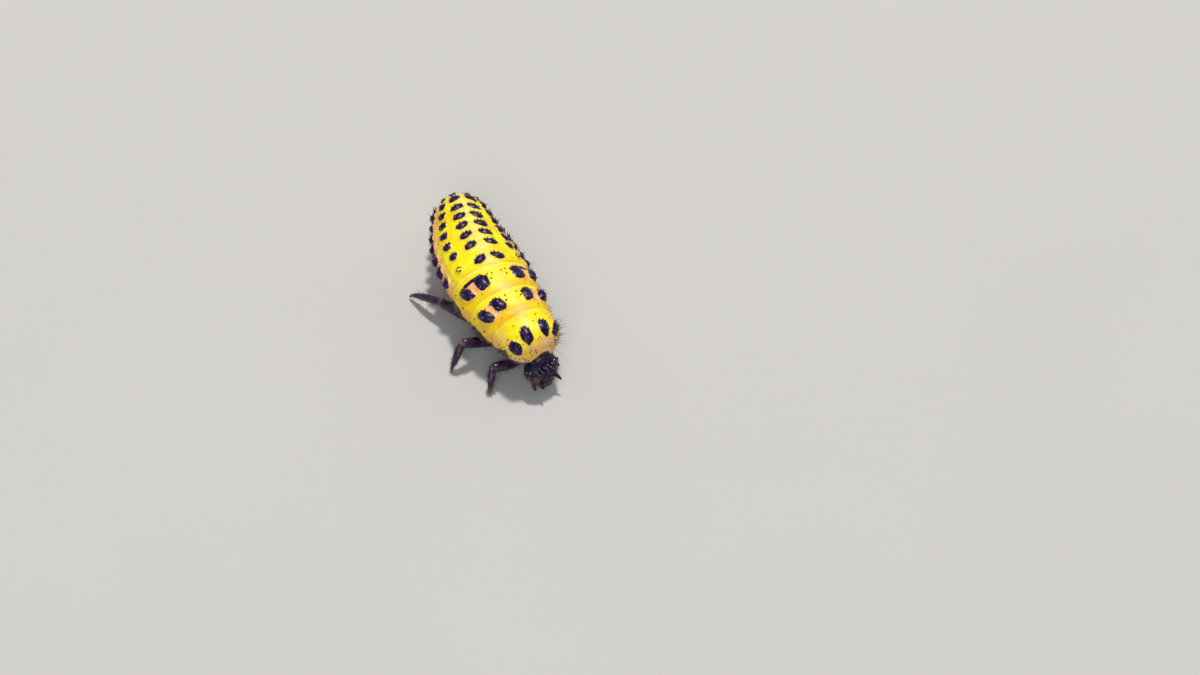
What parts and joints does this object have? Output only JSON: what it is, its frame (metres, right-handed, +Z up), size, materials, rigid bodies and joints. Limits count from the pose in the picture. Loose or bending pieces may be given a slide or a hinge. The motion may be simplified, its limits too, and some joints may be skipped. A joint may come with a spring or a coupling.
{
  "type": "ladybird larva",
  "caption": "Life-size still model of a yellow ladybird larva with rows of black tubercles, standing on bent legs and a tail pad.",
  "frame": {"origin": "on the floor, under the middle of the larva's bounding box", "axes": "+Z up; the tail points to +Y and the head to -Y, turned a little towards +X; +X is the larva's left"},
  "size_m": [0.0032, 0.006, 0.0017],
  "materials": {
    "body_skin": "soft satin skin, lemon yellow shading to peach at the folds, with glossy near-black tubercles",
    "leg_shell": "semi-gloss near-black shell with fine bristles",
    "head_shell": "glossy black shell, finely grained",
    "mouth_shell": "dark brown translucent-looking shell",
    "eye_lens": "clear gloss black lens"
  },
  "bodies": {
    "root": {"abdomen_1": "body_skin", "abdomen_2": "body_skin", "abdomen_3": "body_skin", "abdomen_4": "body_skin", "abdomen_5": "body_skin", "abdomen_6": "body_skin", "abdomen_7": "body_skin", "abdomen_8": "body_skin", "abdomen_9": "body_skin", "anal_pad": "body_skin", "antenna_left": "head_shell", "antenna_right": "head_shell", "claw_front_left": "leg_shell", "claw_front_right": "leg_shell", "claw_hind_left": "leg_shell", "claw_hind_right": "leg_shell", "claw_middle_left": "leg_shell", "claw_middle_right": "leg_shell", "coxa_front_left": "leg_shell", "coxa_front_right": "leg_shell", "coxa_hind_left": "leg_shell", "coxa_hind_right": "leg_shell", "coxa_middle_left": "leg_shell", "coxa_middle_right": "leg_shell", "eye_front_left": "eye_lens", "eye_front_right": "eye_lens", "eye_rear_left": "eye_lens", "eye_rear_right": "eye_lens", "eye_top_left": "eye_lens", "eye_top_right": "eye_lens", "femur_front_left": "leg_shell", "femur_front_right": "leg_shell", "femur_hind_left": "leg_shell", "femur_hind_right": "leg_shell", "femur_middle_left": "leg_shell", "femur_middle_right": "leg_shell", "head": "head_shell", "labrum": "mouth_shell", "mandible_left": "mouth_shell", "mandible_right": "mouth_shell", "mesothorax": "body_skin", "metathorax": "body_skin", "palp_left": "mouth_shell", "palp_right": "mouth_shell", "pronotum": "body_skin", "tibia_front_left": "leg_shell", "tibia_front_right": "leg_shell", "tibia_hind_left": "leg_shell", "tibia_hind_right": "leg_shell", "tibia_middle_left": "leg_shell", "tibia_middle_right": "leg_shell"}
  },
  "joints": []
}
